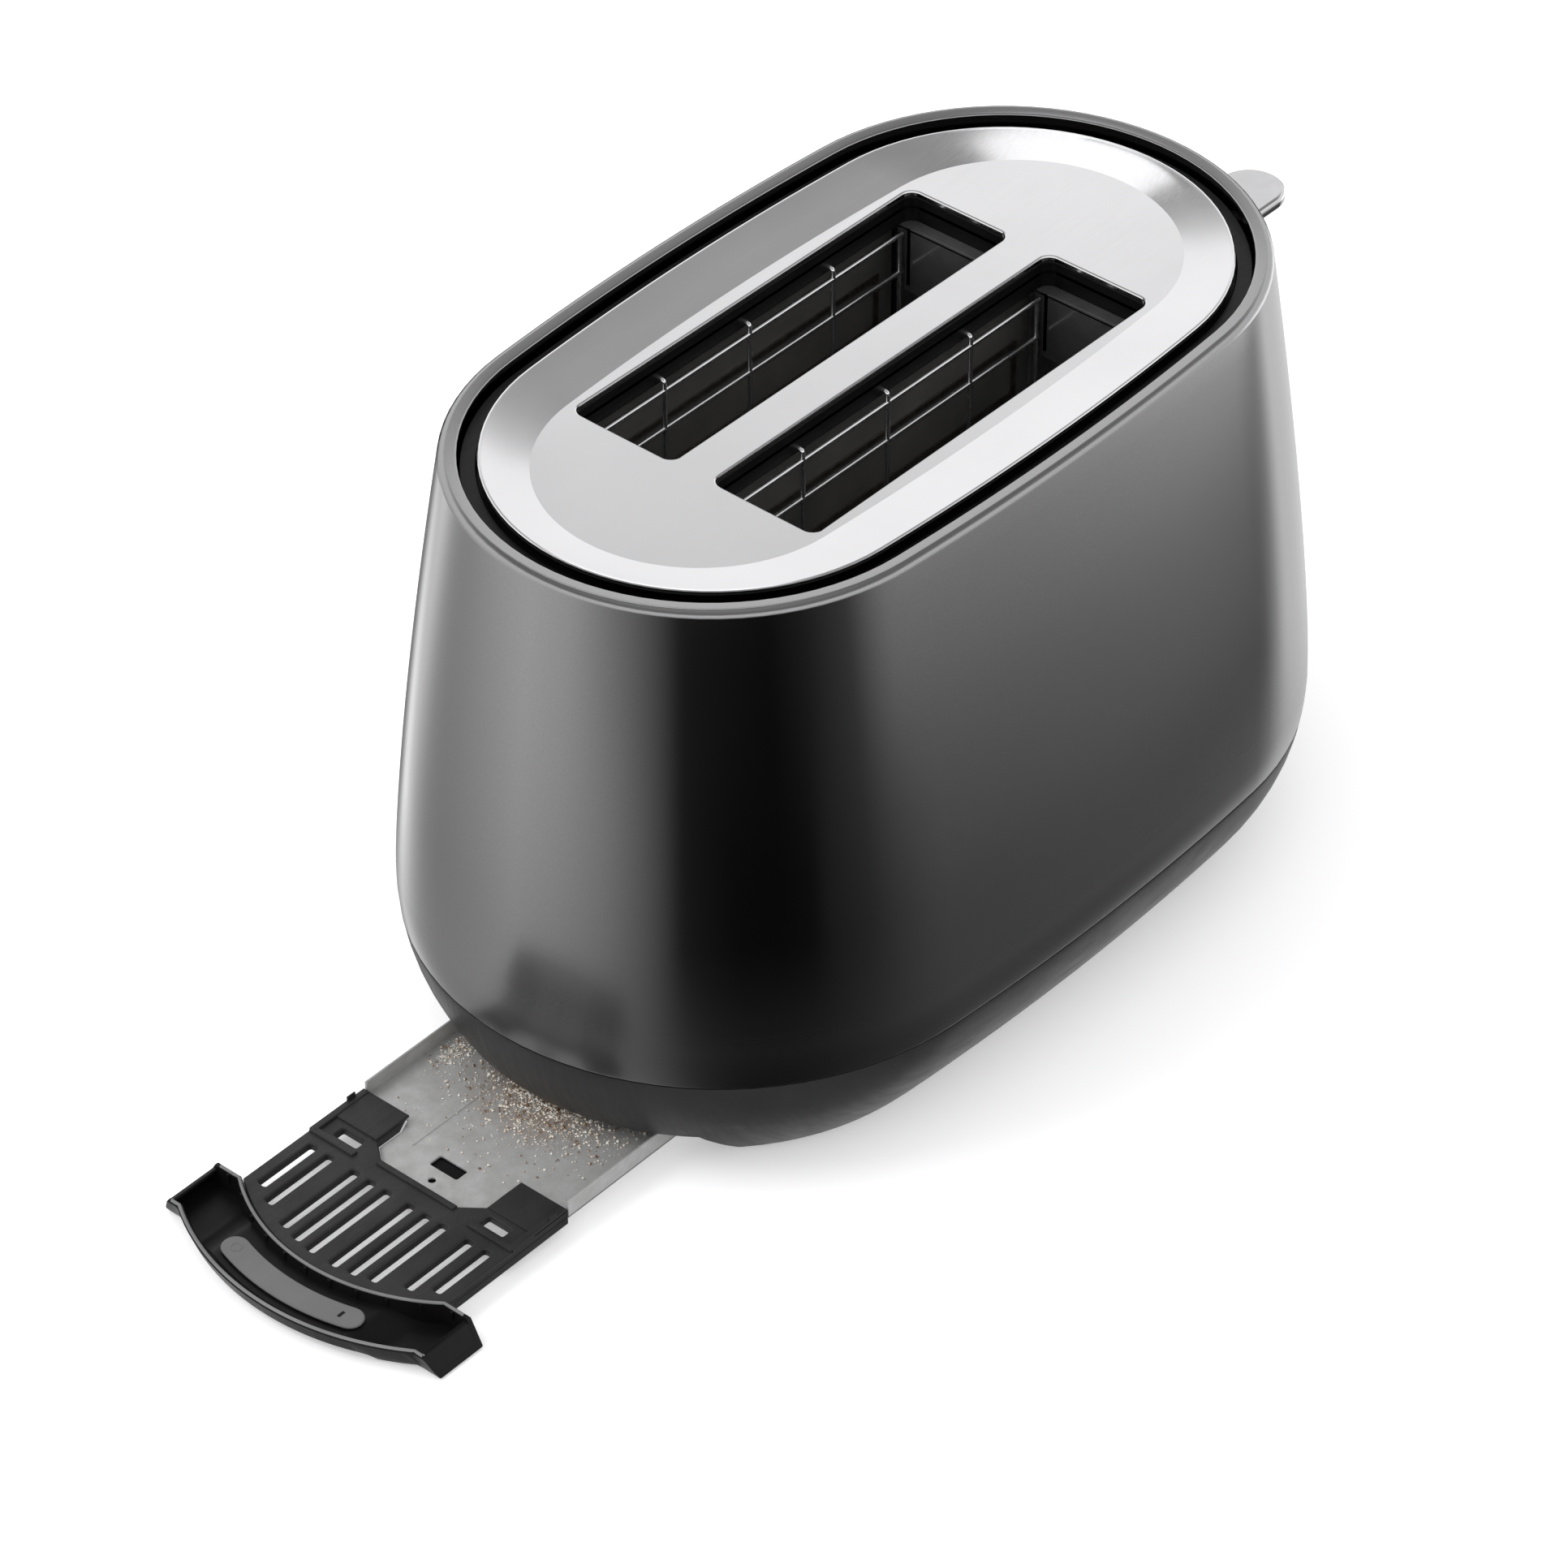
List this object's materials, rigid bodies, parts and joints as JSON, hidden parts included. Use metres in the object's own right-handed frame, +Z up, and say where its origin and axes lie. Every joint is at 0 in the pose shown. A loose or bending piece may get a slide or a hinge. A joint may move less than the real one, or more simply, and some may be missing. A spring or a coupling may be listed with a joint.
{
  "type": "pop up toaster",
  "caption": "Tapered oval toaster with a dished steel top and long bread slots, a pull-out crumb tray at one end and a spring-loaded lever, dial and buttons at the other.",
  "frame": {"origin": "on the floor, under the middle of the whole object's bounding box with the crumb tray pulled out as at rest", "axes": "+X along the length towards the lever, -X towards the crumb tray's handle, +Z up"},
  "size_m": [0.4254, 0.1836, 0.185],
  "materials": {
    "shell_metal": "dark graphite, glossy metallic lacquer",
    "base_plastic": "satin",
    "brushed_steel": "fine satin",
    "black_plastic": "satin",
    "grip_plastic": "satin",
    "gloss_black": "gloss",
    "black_rubber": "matte",
    "plated_steel": "zinc plated",
    "wire_steel": "bright wire",
    "mica_board": "layered mica sheet",
    "heating_ribbon": "oxidised",
    "polished_chrome": "polished",
    "circuit_green": "solder resist"
  },
  "bodies": {
    "toaster_body": {"outer_shell": "shell_metal", "base_moulding": "base_plastic", "top_plate": "brushed_steel", "top_frame": "black_plastic", "dial_potentiometer": "black_plastic", "control_fascia": "gloss_black", "cord_gland": "black_rubber", "rubber_foot_1": "black_rubber", "rubber_foot_2": "black_rubber", "rubber_foot_3": "black_rubber", "rubber_foot_4": "black_rubber", "chassis_plate_tray_end": "plated_steel", "chassis_plate_lever_end": "plated_steel", "heat_shield_far": "plated_steel", "heat_shield_near": "plated_steel", "guide_rod": "plated_steel", "latch_magnet": "plated_steel", "base_screw_1": "plated_steel", "base_screw_2": "plated_steel", "base_screw_3": "plated_steel", "base_screw_4": "plated_steel", "carriage_spring": "wire_steel", "heater_board_far": "mica_board", "heater_board_centre": "mica_board", "heater_board_near": "mica_board", "heating_ribbon_far": "heating_ribbon", "heating_ribbon_centre_far": "heating_ribbon", "heating_ribbon_centre_near": "heating_ribbon", "heating_ribbon_near": "heating_ribbon", "circuit_board": "circuit_green"},
    "crumb_tray": {"crumb_pan": "plated_steel", "tray_frame": "black_plastic", "tray_handle": "black_plastic", "handle_grip_pad": "grip_plastic"},
    "bread_carriage": {"bread_rack_far": "wire_steel", "bread_rack_near": "wire_steel", "carriage_bracket": "plated_steel", "latch_keeper": "plated_steel", "lever_arm": "plated_steel", "lever_knob": "polished_chrome"},
    "guard_far_outer": {"guard_far_outer": "wire_steel"},
    "guard_far_inner": {"guard_far_inner": "wire_steel"},
    "guard_near_inner": {"guard_near_inner": "wire_steel"},
    "guard_near_outer": {"guard_near_outer": "wire_steel"},
    "browning_dial": {"browning_dial": "brushed_steel"},
    "cancel_button": {"cancel_button": "brushed_steel"},
    "reheat_button": {"reheat_button": "brushed_steel"},
    "defrost_button": {"defrost_button": "brushed_steel"}
  },
  "joints": [
    {"name": "tray_slide", "type": "slide", "parent": "toaster_body", "child": "crumb_tray", "axis": [-1, 0, 0], "range_m": [-0.107, 0.05]},
    {"name": "lever_slide", "type": "slide", "parent": "toaster_body", "child": "bread_carriage", "axis": [0, 0, 1], "range_m": [-0.075, 0], "stiffness_N_per_m": 60, "springref_m": 0.06, "deforming": ["carriage_spring"]},
    {"name": "guard_far_outer_tilt", "type": "hinge", "parent": "toaster_body", "child": "guard_far_outer", "pos_m": [0.0308, 0.0406, 0.038], "axis": [1, 0, 0], "range_deg": [0, 3.1]},
    {"name": "guard_far_inner_tilt", "type": "hinge", "parent": "toaster_body", "child": "guard_far_inner", "pos_m": [0.0308, 0.0084, 0.038], "axis": [1, 0, 0], "range_deg": [-3.1, 0]},
    {"name": "guard_near_inner_tilt", "type": "hinge", "parent": "toaster_body", "child": "guard_near_inner", "pos_m": [0.0308, -0.0084, 0.038], "axis": [1, 0, 0], "range_deg": [0, 3.1]},
    {"name": "guard_near_outer_tilt", "type": "hinge", "parent": "toaster_body", "child": "guard_near_outer", "pos_m": [0.0308, -0.0406, 0.038], "axis": [1, 0, 0], "range_deg": [-3.1, 0]},
    {"name": "browning_dial_turn", "type": "hinge", "parent": "toaster_body", "child": "browning_dial", "pos_m": [0.1858, 0, 0.055], "axis": [1, 0, 0], "range_deg": [-135, 135]},
    {"name": "cancel_press", "type": "slide", "parent": "toaster_body", "child": "cancel_button", "axis": [-1, 0, 0], "range_m": [0, 0.0015], "stiffness_N_per_m": 400, "springref_m": -0.001},
    {"name": "reheat_press", "type": "slide", "parent": "toaster_body", "child": "reheat_button", "axis": [-1, 0, 0], "range_m": [0, 0.0015], "stiffness_N_per_m": 400, "springref_m": -0.001},
    {"name": "defrost_press", "type": "slide", "parent": "toaster_body", "child": "defrost_button", "axis": [-1, 0, 0], "range_m": [0, 0.0015], "stiffness_N_per_m": 400, "springref_m": -0.001}
  ],
  "couplings": [
    {"joint": "guard_far_outer_tilt", "follows": "lever_slide", "rad_per_m": -0.7},
    {"joint": "guard_far_inner_tilt", "follows": "lever_slide", "rad_per_m": 0.7},
    {"joint": "guard_near_inner_tilt", "follows": "lever_slide", "rad_per_m": -0.7},
    {"joint": "guard_near_outer_tilt", "follows": "lever_slide", "rad_per_m": 0.7}
  ]
}
